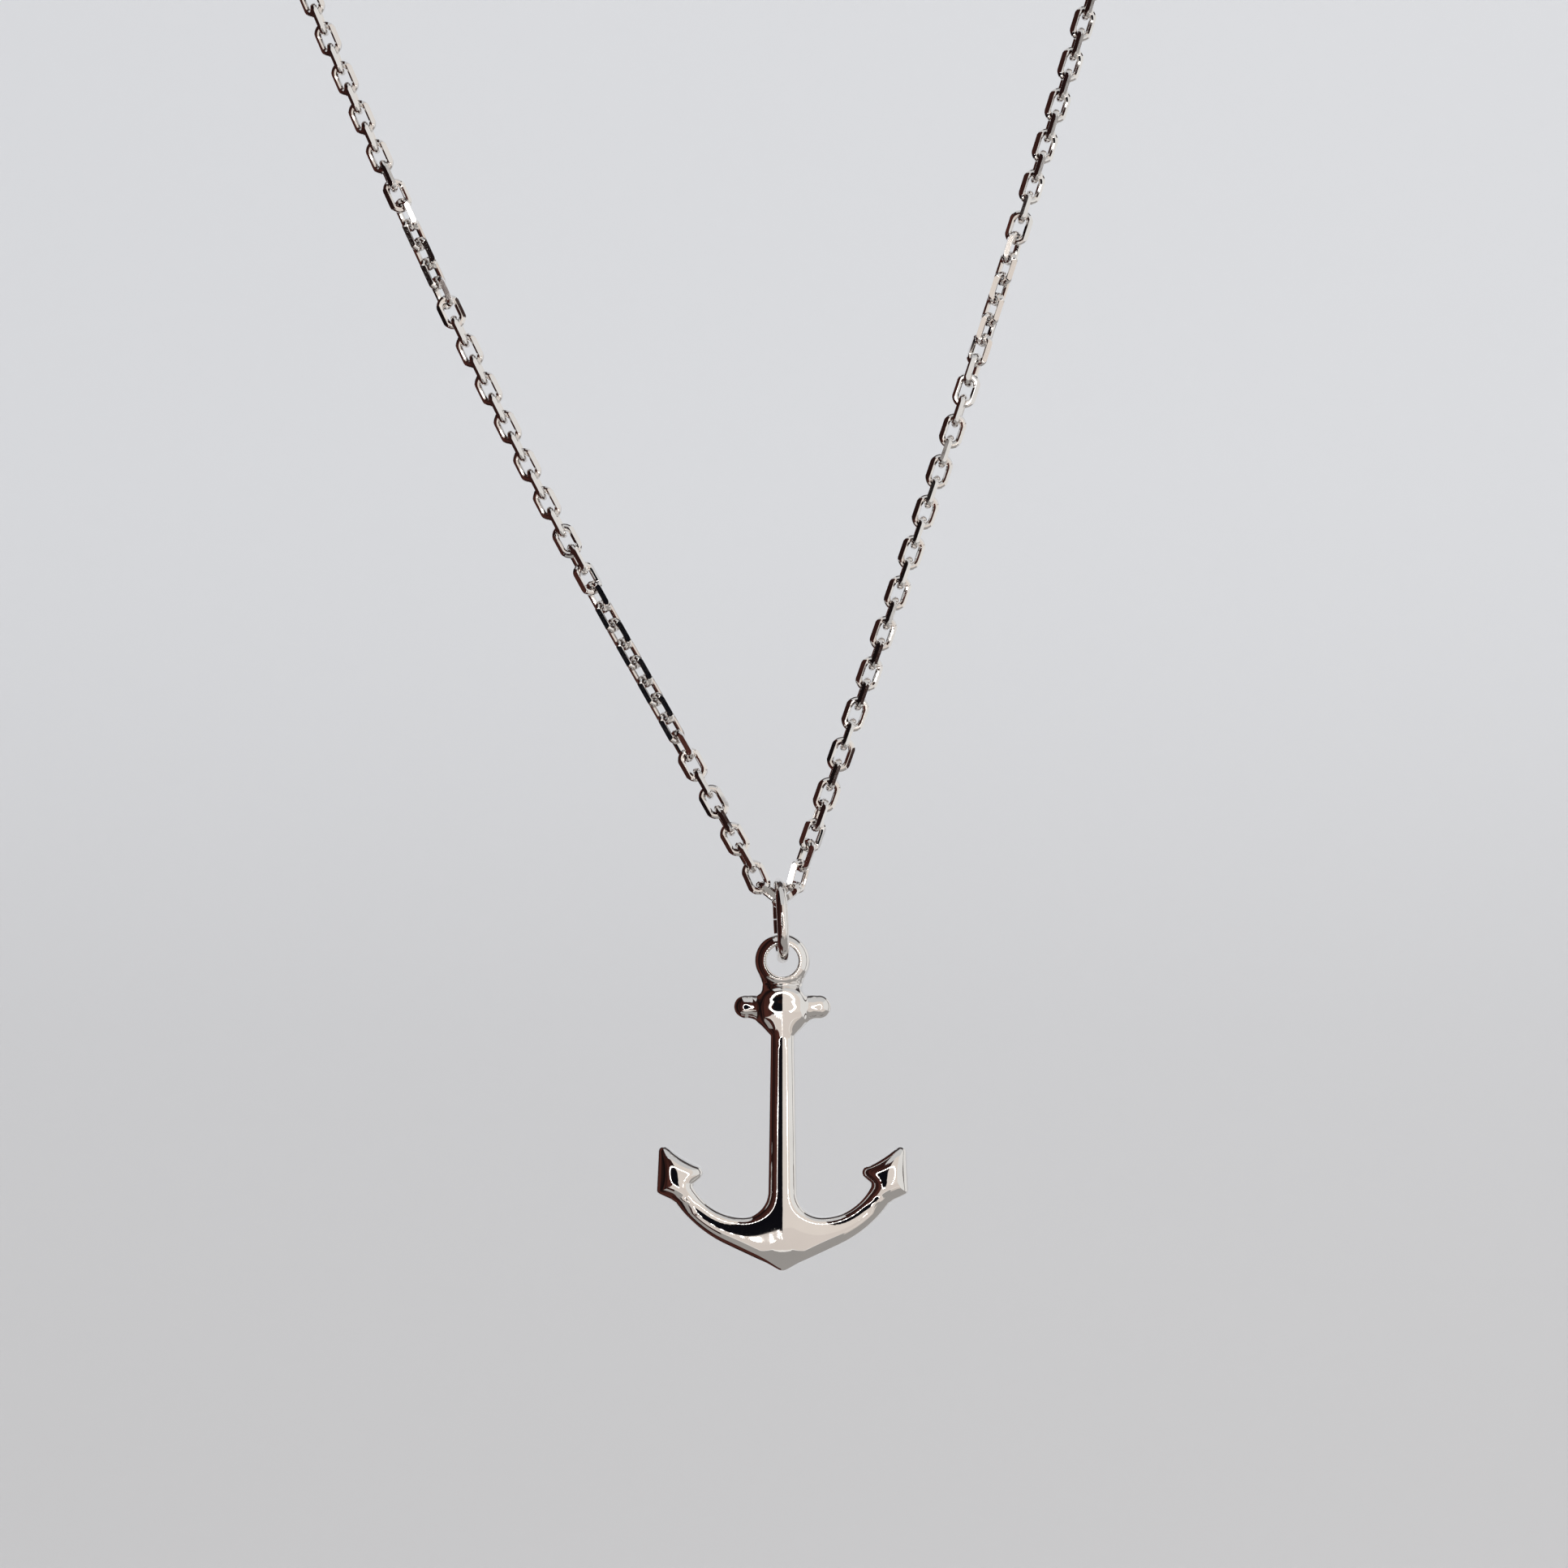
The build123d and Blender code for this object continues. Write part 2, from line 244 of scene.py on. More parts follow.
# Dome of the head: its middle, how it falls off up and down, and its ramp to the shank
DOME_Z, DOME_TOP, DOME_ABOVE, DOME_BELOW = -2.63, 1.17, 7.8, 6.6
RAMP_FROM, RAMP_SLOPE, RAMP_OFFSET = 0.79, 0.24, 0.095
RIDGE, RIDGE_SOFT = 0.10, 0.08
# Blends between the forms
FLUKE_BLEND, STOCK_BLEND, EYE_BLEND, BORE_BLEND = 0.30, 0.26, 0.30, 0.08


def crown_lean(u, outer):
    """How far the faces of crown and arms sink towards the outer side."""
    over = np.maximum(LEAN_FROM + LEAN_FROM_MORE * np.exp(-((u / LEAN_MIDDLE) ** 2)) - outer, 0)
    bent = np.where(over < LEAN_BEND, over**2 / (2 * LEAN_BEND), over - LEAN_BEND / 2)
    return LEAN_SLOPE * bent + LEAN_CURVE * np.maximum(over - LEAN_BEND, 0) ** 2


def fluke_pillow(u, v):
    """Height of the fluke's pillow, drawn out along the arm, and too high to count elsewhere."""
    du, dv = u - PILLOW_X, v - PILLOW_Z
    ax, az = PILLOW_AXIS
    along, side = -ax * du - az * dv, az * du - ax * dv
    fall = side**2 / np.where(side > 0, *PILLOW_SIDES)
    fall = fall + along**2 / np.where(along > 0, *PILLOW_ENDS)
    away = 1 - rise(v, *PILLOW_UP) * rise(u, *PILLOW_OUT)
    return PILLOW_TOP - np.minimum(fall, PILLOW_DEPTH) + PILLOW_LIFT * away


def head_dome(u, above, below):
    """Height of the head's dome and of its narrowing ramp with a soft ridge down the shank."""
    half = 1.0 - 0.60 * rise(below, 0.7, 1.5)
    ramp = rise(below, 0.5, 1.2)
    down = np.where(below < RAMP_FROM, below**2 / DOME_BELOW, RAMP_SLOPE * below - RAMP_OFFSET)
    cap = DOME_TOP - above**2 / DOME_ABOVE - down
    cap = cap - u**2 / (7.2 - 4.4 * ramp) - RIDGE * ramp * (np.hypot(u, RIDGE_SOFT) - RIDGE_SOFT)
    cap = cap - 0.8 * np.maximum(u - half, 0) ** 2
    return cap - 2.2 * np.maximum(np.hypot(0.75 * u, above) - 0.85, 0) ** 2


def face_height(u, v, soft, outer):
    """Half thickness of the plate: crowned faces, tilted crown, domed flukes and head."""
    head = rise(v, *HEAD_UP)
    fluke = rise(v, *FLUKE_UP) * rise(u, *FLUKE_OUT)
    arm = rise(u, *ARM_OUTWARD) * rise(-v, *ARM_DOWN) * (1 - fluke)
    edge = 0.50 - 0.14 * head
    gain = 0.42 + 0.10 * head + 0.34 * fluke + 0.05 * arm
    width = 0.35 + 0.55 * head + 0.15 * fluke + 0.15 * arm
    height = edge + gain * (1 - np.exp(-soft / width))
    height = height - SADDLE_DEPTH * np.exp(-(((v - SADDLE_Z) / SADDLE_WIDTH) ** 2))
    height = height - (1 - 0.7 * fluke) * crown_lean(u, outer)
    height = smooth_min(height, fluke_pillow(u, v), FLUKE_BLEND)
    up = v - DOME_Z
    dome = head_dome(u, np.maximum(up, 0), np.maximum(-up, 0))
    height = smooth_max(height, dome, 0.14 + 0.26 * rise(up, 0.5, 0.6))
    # Bevel along the outer side, wide at the crown
    middle = np.exp(-((u / 1.9) ** 2)) * rise(-v, 14.5, 1.0)
    outer = outer - 0.515 * (np.hypot(u, 0.16) - u) * rise(-v, 16.0, 1.0)
    edge, slope = 0.34 - 0.26 * middle, 1.20 - 0.80 * middle
    return smooth_min(height, edge + slope * np.maximum(outer, 0), 0.10 + 0.06 * fluke)


# Edge radius of the plate. Stock: height, half thickness, plain length and length of its end.
PLATE_EDGE = 0.26
STOCK_Z, STOCK_HALF, STOCK_RUN, STOCK_END = -2.73, 0.60, 2.17, 0.69
# Eye: radii of bore and outside, half depth, edge radius and where its faces start to fall
EYE_BORE, EYE_OUTER, EYE_DEEP, EYE_EDGE, EYE_FALL = 0.95, 1.63, 0.89, 0.30, 0.97


def anchor_field(u, y, v, maps):
    """Signed field of the anchor, below 0 inside. u, y, v: across, deep and up from the eye."""
    distance, soft, outer = maps
    u, deep = np.abs(u), np.abs(y)
    # The factors 0.85, 0.62 and 0.8 bring the slopes of the fields near to 1
    plate = round_meet((deep - face_height(u, v, soft, outer)) * 0.85, -distance, PLATE_EDGE)
    # Stock: bar with swollen round ends, deeper towards the head
    tall = STOCK_HALF + 0.10 * rise(u, 1.2, 1.0)
    thick = STOCK_HALF + 0.105 * (2.1 - u + np.hypot(2.1 - u, 0.15))
    past = np.maximum(u - STOCK_RUN, 0) / STOCK_END
    bar = 0.62 * (np.sqrt(((v - STOCK_Z) / tall) ** 2 + (deep / thick) ** 2 + past**2) - 1)
    # Eye: faces crowned next to the bore, falling to a round outer edge
    across = np.hypot(u, v)
    fall = np.maximum(across - EYE_FALL, 0) ** 2 / 1.1
    eye = round_meet((deep - EYE_DEEP + fall) * 0.8, across - EYE_OUTER, EYE_EDGE)
    body = smooth_min(smooth_min(plate, bar, STOCK_BLEND), eye, EYE_BLEND)
    bore = EYE_BORE - across - 0.10 * np.clip(deep - 0.5, 0, 1) ** 2
    return smooth_max(body, bore, BORE_BLEND)


def surface_net(field, origin, step):
    """Vertices and quads of the zero surface of a sampled field."""
    inside = field < 0
    corners = [(i, j, k) for i in (0, 1) for j in (0, 1) for k in (0, 1)]
    n = np.array(field.shape) - 1
    part = [inside[i : n[0] + i, j : n[1] + j, k : n[2] + k] for i, j, k in corners]
    count = sum(p.astype(np.int8) for p in part)
    cells = np.argwhere((count > 0) & (count < 8))
    number = -np.ones(n, int)
    number[tuple(cells.T)] = np.arange(len(cells))
    # One vertex in each cell, in the middle of the places where its edges cross the surface
    total = np.zeros((len(cells), 3))
    hits = np.zeros(len(cells))
    for a in corners:
        for axis in range(3):
            if a[axis]:
                continue
            b = tuple(a[m] + (m == axis) for m in range(3))
            fa, fb = field[tuple((cells + a).T)], field[tuple((cells + b).T)]
            crossed = (fa < 0) != (fb < 0)
            place = np.tile(np.array(a, float), (len(cells), 1))
            place[:, axis] = np.where(crossed, fa / np.where(crossed, fa - fb, 1), 0)
            total += place * crossed[:, None]
            hits += crossed
    points = origin + (cells + total / hits[:, None]) * step
    # One quad round each grid edge that crosses the surface
    quads = []
    for axis in range(3):
        low = [slice(1, n[m]) for m in range(3)]
        low[axis] = slice(0, n[axis])
        up = list(low)
        up[axis] = slice(1, n[axis] + 1)
        start, end = inside[tuple(low)], inside[tuple(up)]
        base = [1, 1, 1]
        base[axis] = 0
        d1, d2 = np.roll(np.eye(3, dtype=int), -axis, 0)[1:]
        for order, mask in ((1, start & ~end), (-1, ~start & end)):
            e = np.argwhere(mask) + base
            ids = [number[tuple((e - s).T)] for s in (0 * d1, d1, d1 + d2, d2)]
            quads.append(np.stack(ids[::order], 1))
    return points, np.vstack(quads)


NET_STEP = 0.066
NET_HALF_WIDTH, NET_LOW, NET_HIGH = 7.6, -18.75, 1.85
NET_DEEP_STEPS = 19
SMOOTH_ROUNDS = 3


def make_anchor():
    """Points, quads and normals of the anchor in the CAD frame."""
    half = int(NET_HALF_WIDTH / NET_STEP)
    xs = (np.arange(-half, half) + 0.5) * NET_STEP
    ys = np.arange(-NET_DEEP_STEPS, NET_DEEP_STEPS + 1) * NET_STEP
    zs = np.arange(NET_LOW, NET_HIGH, NET_STEP)
    maps = [m[:, None, :] for m in plate_maps(*np.meshgrid(xs, zs, indexing="ij"))]
    field = anchor_field(*np.meshgrid(xs, ys, zs, indexing="ij", sparse=True), maps)
    points, quads = surface_net(field, np.array([xs[0], ys[0], zs[0]]), NET_STEP)

    def value(p):
        return anchor_field(p[:, 0], p[:, 1], p[:, 2], plate_maps(p[:, 0], p[:, 2]))

    def gradient(p, e=0.01):
        g = np.zeros_like(p)
        for axis in range(3):
            shift = np.zeros(3)
            shift[axis] = e
            g[:, axis] = (value(p + shift) - value(p - shift)) / (2 * e)
        return g

    def onto_surface(p):
        g = gradient(p)
        return p - g * (value(p) / np.maximum((g * g).sum(1), 0.05))[:, None]

    # The net is evened out, and its points go back onto the surface each time
    edges = np.vstack([quads[:, [k, (k + 1) % 4]] for k in range(4)])
    size = len(points)
    near = np.bincount(edges[:, 0], minlength=size) + np.bincount(edges[:, 1], minlength=size)
    for _ in range(SMOOTH_ROUNDS):
        total = np.zeros_like(points)
        for a, b in ((0, 1), (1, 0)):
            for axis in range(3):
                reach = points[edges[:, b], axis]
                total[:, axis] += np.bincount(edges[:, a], weights=reach, minlength=size)
        points = onto_surface(points + 0.5 * (total / near[:, None] - points))
    points = onto_surface(points)
    g = gradient(points, 0.02)
    normals = g / np.maximum(np.linalg.norm(g, axis=1), 1e-9)[:, None]
    return points + np.array(EYE), quads, normals


points, quads, normals = make_anchor()
anchor = new_mesh("anchor_polished", points, quads, normals)
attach(anchor, "pendant")
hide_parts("anchor")


def make_ring():
    """Points and faces of the jump ring: round wire, with its closed seam at the back."""
    around, section = 200, 28
    normal = np.array([math.cos(RING_LEAN), math.tan(RING_TURN), math.sin(RING_LEAN)])
    normal /= np.linalg.norm(normal)
    back = np.array([0.0, 1.0, 0.0])
    back -= normal * (back @ normal)
    back /= np.linalg.norm(back)
    up = np.cross(normal, back)
    up = up if up[2] > 0 else -up
    angles = np.linspace(RING_SEAM, 2 * math.pi - RING_SEAM, around)
    rows = [(angle, RING_WIRE / 2) for angle in angles]
    end_wire = RING_WIRE / 2 - RING_BEVEL
    rows = [(angles[0], end_wire), *rows, (angles[-1], end_wire)]
    points = []
    for angle, wire in rows:
        out = back * math.cos(angle) + up * math.sin(angle)
        for k in range(section):
            a = 2 * math.pi * k / section
            middle = np.array(RING_CENTRE) + out * (RING_RADIUS + wire * math.cos(a))
            points.append(middle + normal * wire * math.sin(a))
    faces = []
    for i in range(len(rows) - 1):
        for k in range(section):
            a, b = i * section + k, i * section + (k + 1) % section
            faces.append((a, b, b + section, a + section))
    faces.append(list(range(section))[::-1])
    faces.append([len(points) - section + k for k in range(section)])
    return np.array(points), faces


ring_points, ring_faces = make_ring()
ring = new_mesh("jump_ring_wire", ring_points, ring_faces)
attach(ring, "ring")
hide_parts("jump_ring")


def make_link():
    """Points and faces of one link, long along Z and wide along X, with its four flats cut."""
    bend = (LINK_WIDTH - LINK_WIRE) / 2
    half_run = (LINK_LENGTH - LINK_WIDTH) / 2
    wire = LINK_WIRE / 2
    around, section = 15, 12
    bm = bmesh.new()
    rows = []
    for first, middle in ((0, half_run), (math.pi, -half_run)):
        for angle in np.linspace(first, first + math.pi, around):
            ox, oz = math.cos(angle), math.sin(angle)
            x, z = bend * ox, middle + bend * oz
            row = []
            for k in range(section):
                a = 2 * math.pi * (k + 0.5) / section
                out, off = math.cos(a), wire * math.sin(a)
                row.append(bm.verts.new((x + ox * wire * out, off, z + oz * wire * out)))
            rows.append(row)
    for a, b in zip(rows, rows[1:] + rows[:1]):
        for k in range(section):
            bm.faces.new((a[k], a[(k + 1) % section], b[(k + 1) % section], b[k]))
    bmesh.ops.recalc_face_normals(bm, faces=bm.faces)
    for flat in ((1, 1, 0), (1, -1, 0), (-1, 1, 0), (-1, -1, 0)):
        out = Vector(flat).normalized()
        whole = list(bm.verts) + list(bm.edges) + list(bm.faces)
        cut = bmesh.ops.bisect_plane(
            bm, geom=whole, plane_co=out * LINK_CUT, plane_no=out, clear_outer=True
        )
        rim = [e for e in cut["geom_cut"] if isinstance(e, bmesh.types.BMEdge)]
        bmesh.ops.holes_fill(bm, edges=rim, sides=0)
    bmesh.ops.remove_doubles(bm, verts=bm.verts, dist=1e-5)
    bmesh.ops.recalc_face_normals(bm, faces=bm.faces)
    bmesh.ops.triangulate(bm, faces=[f for f in bm.faces if len(f.verts) > 4])
    bm.verts.ensure_lookup_table()
    points = np.array([v.co[:] for v in bm.verts])
    faces = [[v.index for v in f.verts] for f in bm.faces]
    bm.free()
    return points, faces


link_points, link_faces = make_link()


def place_links(name, places, node):
    """One mesh of links. places: rows of middle, wide direction and long axis."""
    points, faces = [], []
    for middle, wide, axis in places:
        base = len(points) * len(link_points)
        turn = np.stack([wide, np.cross(axis, wide), axis])
        points.append(np.array(middle) + link_points @ turn)
        faces.extend([[v + base for v in f] for f in link_faces])
    piece = new_mesh(name, np.vstack(points), faces)
    piece.data.set_sharp_from_angle(angle=LINK_SHARP)
    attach(piece, "chain")
    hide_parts(node)
    return piece


def loose_solids(node):
    """Label of the loose solid of each triangle of a node, and the triangles' corners."""
    mesh = nodes[node].data
    co = np.empty(len(mesh.vertices) * 3)
    mesh.vertices.foreach_get("co", co)
    co = co.reshape(-1, 3) / MM
    mesh.calc_loop_triangles()
    tri = np.empty(len(mesh.loop_triangles) * 3, int)
    mesh.loop_triangles.foreach_get("vertices", tri)
    _, merged = np.unique(np.round(co, 4), axis=0, return_inverse=True)
    joined = merged.ravel()[tri].reshape(-1, 3)
    # Each point takes the lowest label of the triangles round it, until nothing changes
    label = np.arange(merged.max() + 1)
    while True:
        low = label[joined].min(1)
        new = label.copy()
        for k in range(3):
            np.minimum.at(new, joined[:, k], low)
        new = new[new]
        if (new == label).all():
            break
        label = new
    return label[joined[:, 0]], co[tri].reshape(-1, 3, 3)


def link_places(node):
    """Middle, wide direction and long axis of each link of a node, from its moments."""
    owner, corner = loose_solids(node)
    rows = []
    for name in np.unique(owner):
        t = corner[owner == name]
        middle = t.reshape(-1, 3).mean(0)
        a, b, c = (t[:, k] - middle for k in range(3))
        volume = np.einsum("ij,ij->i", a, np.cross(b, c)) / 6
        total = volume.sum()
        centre = ((a + b + c) * volume[:, None]).sum(0) / (4 * total)
        moment = np.zeros((3, 3))
        for p in (a, b, c, a + b + c):
            moment += np.einsum("i,ij,ik->jk", volume, p, p)
        moment = moment / 20 / total - np.outer(centre, centre)
        _, vector = np.linalg.eigh(moment)
        axis, wide = vector[:, 2], vector[:, 1]
        rows.append((middle + centre, wide, -axis if axis[2] < 0 else axis))
    return rows


# Extra turn of a link in degrees: least, and how much more where it is wide across the view
TURN_LEAST, TURN_MORE = 7, 15
TURN_FROM_Z, TURN_RUN = -120.0, 8.0


def eased_turns(places):
    """Turns links above TURN_FROM_Z a little further, so that few show exactly edge on."""
    rows = []
    for middle, wide, axis in places:
        side = np.cross([0.0, 1.0, 0.0], axis)
        side /= np.linalg.norm(side)
        roll = math.atan2(wide @ side, wide @ np.cross(axis, side))
        extra = math.radians(TURN_LEAST + TURN_MORE * math.sin(roll) ** 2)
        extra *= math.cos(2 * roll) ** 2
        extra *= float(rise(middle[2], TURN_FROM_Z, TURN_RUN))
        turn = math.copysign(extra, middle[0] - EYE[0])
        turned = wide * math.cos(turn) + np.cross(axis, wide) * math.sin(turn)
        rows.append((middle, turned, axis))
    return rows


front_places = eased_turns(link_places("chain_front"))
chain_front = place_links("chain_front_links", front_places, "chain_front")


def spline_points(route):
    """Points read from the smooth line of a route."""
    curve = bpy.data.curves.new("route", "CURVE")
    curve.dimensions = "3D"
    curve.resolution_u = 64
    spline = curve.splines.new("NURBS")
    spline.points.add(len(route) - 1)
    for point, place in zip(spline.points, route):
        point.co = (*[v * MM for v in place], 1)
    spline.order_u = 3
    spline.use_endpoint_u = True
    holder = bpy.data.objects.new("route", curve)
    mesh = bpy.data.meshes.new_from_object(holder)
    line = np.array([v.co[:] for v in mesh.vertices]) / MM
    bpy.data.objects.remove(holder)
    bpy.data.curves.remove(curve)
    bpy.data.meshes.remove(mesh)
    return line


def back_places(route, side):
    """Places of the links from the last front link of one side to the clasp."""
    last, wide, axis = max(
        (place for place in front_places if place[0][0] * side > 0), key=lambda place: place[0][2]
    )
    clasp_x, clasp_y, clasp_z = CLASP_LINK
    start = last + axis * LINK_PITCH / 2
    end = (side * (clasp_x + LINK_PITCH / 2), clasp_y, clasp_z)
    line = spline_points([tuple(start), *route, end])
    steps = np.linalg.norm(np.diff(line, axis=0), axis=1)
    run = np.concatenate([[0], np.cumsum(steps)])
    count = round(run[-1] / LINK_PITCH)
    marks = np.linspace(0, run[-1], count + 1)
    joints = np.stack([np.interp(marks, run, line[:, k]) for k in range(3)], 1)
    axes = np.diff(joints, axis=0)
    axes /= np.linalg.norm(axes, axis=1)[:, None]
    # The wide direction is carried along the strand without twist
    carried = []
    for axis in axes:
        wide = wide - axis * (wide @ axis)
        wide /= np.linalg.norm(wide)
        carried.append(wide)
    # The link in the clasp's eye stands upright, and the strand takes up the twist to it
    last_axis, last_wide = np.array([-side * 1.0, 0.0, 0.0]), np.array([0.0, 0.0, 1.0])
    turned = carried[-1] - last_axis * (carried[-1] @ last_axis)
    turned /= np.linalg.norm(turned)
    other = np.cross(last_axis, turned)
    angle = math.degrees(math.atan2(last_wide @ other, last_wide @ turned))
    twist = (angle - 90 * (count + 1) + 90) % 180 - 90
    places = []
    for index, (axis, base) in enumerate(zip(axes, carried)):
        roll = math.radians(90 * (index + 1) + twist * (index + 1) / (count + 1))
        turned = base * math.cos(roll) + np.cross(axis, base) * math.sin(roll)
        places.append(((joints[index] + joints[index + 1]) / 2, turned, axis))
    places.append((np.array([side * clasp_x, clasp_y, clasp_z]), last_wide, last_axis))
    return places


chain_left = place_links("chain_back_links_left", back_places(ROUTE_LEFT, -1), "chain_back")
chain_right = place_links("chain_back_links_right", back_places(ROUTE_RIGHT, 1), "chain_back")


def add_node(tree, kind, values=()):
    """New shader node with plain values on its sockets."""
    node = tree.nodes.new(kind)
    for socket, value in dict(values).items():
        node.inputs[socket].default_value = value
    return node


def add_ramp(tree, low, high, ends=(0.0, 1.0)):
    """New colour ramp from one colour to another, between two positions."""
    node = tree.nodes.new("ShaderNodeValToRGB")
    for element, position, color in zip(node.color_ramp.elements, ends, (low, high)):
        element.position = position
        element.color = (*color, 1)
    return node


def join(tree, *steps):
    """Links in a tree, each given as node, output, next node and input."""
    for source, output, target, socket in steps:
        tree.links.new(source.outputs[output], target.inputs[socket])


# Clouds and polishing marks: scales of their noise, darkest cloud, depth of a mark in metres
CLOUD_SCALE, MARK_SCALE, CLOUD_SHADE, MARK_DEPTH = 260.0, 2600.0, 0.94, 0.00002


def metal(name, color, rough, scratch):
    """Bright polished metal with faint clouding and polishing marks."""
    material = bpy.data.materials.new(name)
    material.use_nodes = True
    tree = material.node_tree
    shader = tree.nodes["Principled BSDF"]
    shader.inputs["Metallic"].default_value = 1.0
    place = add_node(tree, "ShaderNodeTexCoord")
    cloud = add_node(tree, "ShaderNodeTexNoise", {"Scale": CLOUD_SCALE, "Detail": 4.0})
    marks = add_node(tree, "ShaderNodeTexNoise", {"Scale": MARK_SCALE, "Detail": 3.0})
    tone = add_ramp(tree, [c * CLOUD_SHADE for c in color], color, (0.35, 0.65))
    spread = add_node(tree, "ShaderNodeMapRange", {"To Min": rough[0], "To Max": rough[1]})
    bump = add_node(tree, "ShaderNodeBump", {"Strength": scratch, "Distance": MARK_DEPTH})
    join(
        tree,
        (place, "Object", cloud, "Vector"),
        (place, "Object", marks, "Vector"),
        (cloud, "Fac", tone, "Fac"),
        (tone, "Color", shader, "Base Color"),
        (marks, "Fac", spread, "Value"),
        (spread, "Result", shader, "Roughness"),
        (marks, "Fac", bump, "Height"),
        (bump, "Normal", shader, "Normal"),
    )
    return material


anchor_metal = metal("anchor_metal_polish", (0.90, 0.885, 0.87), (0.02, 0.06), 0.02)
chain_metal = metal("chain_metal_polish", (0.89, 0.87, 0.855), (0.04, 0.10), 0.03)
anchor.data.materials.append(anchor_metal)
for piece in (ring, chain_front, chain_left, chain_right):
    piece.data.materials.append(chain_metal)
clasp_data = nodes["clasp"].data
clasp_data.materials.clear()
clasp_data.materials.append(chain_metal)


# Stage: pale floor, cards and lamps that only reflections see, and two soft lights


def one_shader(name, kind, values=()):
    """Material of one shader, with its tree and that shader."""
    material = bpy.data.materials.new(name)
    material.use_nodes = True
    tree = material.node_tree
    tree.nodes.clear()
    shader = add_node(tree, kind, values)
    end = add_node(tree, "ShaderNodeOutputMaterial")
    tree.links.new(shader.outputs[0], end.inputs["Surface"])
    return material, tree, shader


def glow(name, color, strength=1.0):
    """Material that gives off an even light."""
    values = {"Color": (*color, 1), "Strength": strength}
    return one_shader(name, "ShaderNodeEmission", values)[0]


# Heights between which the floor's tone changes from the lower to the upper one
FADE_LOW, FADE_HIGH = -330.0, -20.0
LOWER_TONE, UPPER_TONE = (0.70, 0.692, 0.692), (0.87, 0.877, 0.895)


def pale_floor():
    """Matte material that gets lighter and a little cooler with height."""
    material, tree, shader = one_shader("pale_floor", "ShaderNodeBsdfDiffuse")
    place = add_node(tree, "ShaderNodeTexCoord")
    split = add_node(tree, "ShaderNodeSeparateXYZ")
    values = {"From Min": FADE_LOW * MM, "From Max": FADE_HIGH * MM}
    span = add_node(tree, "ShaderNodeMapRange", values)
    fade = add_ramp(tree, LOWER_TONE, UPPER_TONE)
    fade.color_ramp.interpolation = "EASE"
    join(
        tree,
        (place, "Object", split, "Vector"),
        (split, "Z", span, "Value"),
        (span, "Result", fade, "Fac"),
        (fade, "Color", shader, "Color"),
    )
    return material


def streaked_glow(name, dark, warm):
    """Glow of the room's dark side, with soft upright streaks."""
    material, tree, shader = one_shader(name, "ShaderNodeEmission", {"Strength": 1.0})
    place = add_node(tree, "ShaderNodeTexCoord")
    stretch = add_node(tree, "ShaderNodeMapping", {"Scale": (5.0, 5.0, 0.6)})
    noise = add_node(tree, "ShaderNodeTexNoise", {"Scale": 1.0})
    ramp = add_ramp(tree, dark, warm, (0.42, 0.62))
    join(
        tree,
        (place, "Object", stretch, "Vector"),
        (stretch, "Vector", noise, "Vector"),
        (noise, "Fac", ramp, "Fac"),
        (ramp, "Color", shader, "Color"),
    )
    return material


FLOOR_Z, FLOOR_NEAR, FLOOR_HALF_WIDTH = -420.0, -2600.0, 2600.0
WALL_Y, WALL_TOP, WALL_BEND = 920.0, 2200.0, 240.0


def sweep_floor():
    """Floor that curves up into a backdrop."""
    bend_y, bend_z = WALL_Y - WALL_BEND, FLOOR_Z + WALL_BEND
    profile = [(FLOOR_NEAR, FLOOR_Z), (bend_y, FLOOR_Z)]
    for a in np.radians(np.linspace(0, 90, 17)[1:]):
        profile.append((bend_y + WALL_BEND * math.sin(a), bend_z - WALL_BEND * math.cos(a)))
    profile.append((WALL_Y, WALL_TOP))
    points, faces = [], []
    for k, (y, z) in enumerate(profile):
        points += [(-FLOOR_HALF_WIDTH, y, z), (FLOOR_HALF_WIDTH, y, z)]
        if k:
            faces.append((2 * k - 2, 2 * k - 1, 2 * k + 1, 2 * k))
    return new_mesh("floor_sweep", points, faces)


floor = sweep_floor()
floor.data.materials.append(pale_floor())


def mirrored_only(name, points, faces, material):
    """Piece of the stage that only reflections see."""
    piece = new_mesh(name, points, faces)
    piece.data.materials.append(material)
    piece.visible_camera = False
    piece.visible_diffuse = False
    piece.visible_shadow = False


DARK_SIDE = streaked_glow("dark_side", (0.008, 0.005, 0.005), (0.075, 0.025, 0.019))


def card(name, corner, size, color=None):
    """Flat card from its lowest corner and its size, with one size of 0; dark without a color."""
    c = np.array(corner, float)
    a, b = np.diag(np.array(size, float))[np.flatnonzero(size)]
    material = DARK_SIDE if color is None else glow(name + "_tone", color)
    mirrored_only(name, [c, c + a, c + a + b, c + b], [(0, 1, 2, 3)], material)


cx, cy, cz = CAMERA
near_y, front_y = -760, cy - 380
low_z, right_z, under_z = FLOOR_Z + 2, cz - 260, cz - 262
card("card_left", (cx - 230, near_y, low_z), (0, 1090, 1100))
card("card_front_left", (cx - 420, front_y, low_z), (419, 0, 900))
card("card_front_right", (cx, front_y, low_z), (900, 0, 1200), (0.78, 0.71, 0.65))
card("card_front_low", (cx - 600, near_y, low_z + 4), (1500, 460, 0), (0.72, 0.65, 0.60))
card("card_right", (cx + 520, near_y, right_z), (0, 1200, 900), (0.80, 0.79, 0.77))
card("card_right_post", (cx + 500, -20, right_z), (0, 60, 900), (0.030, 0.012, 0.010))
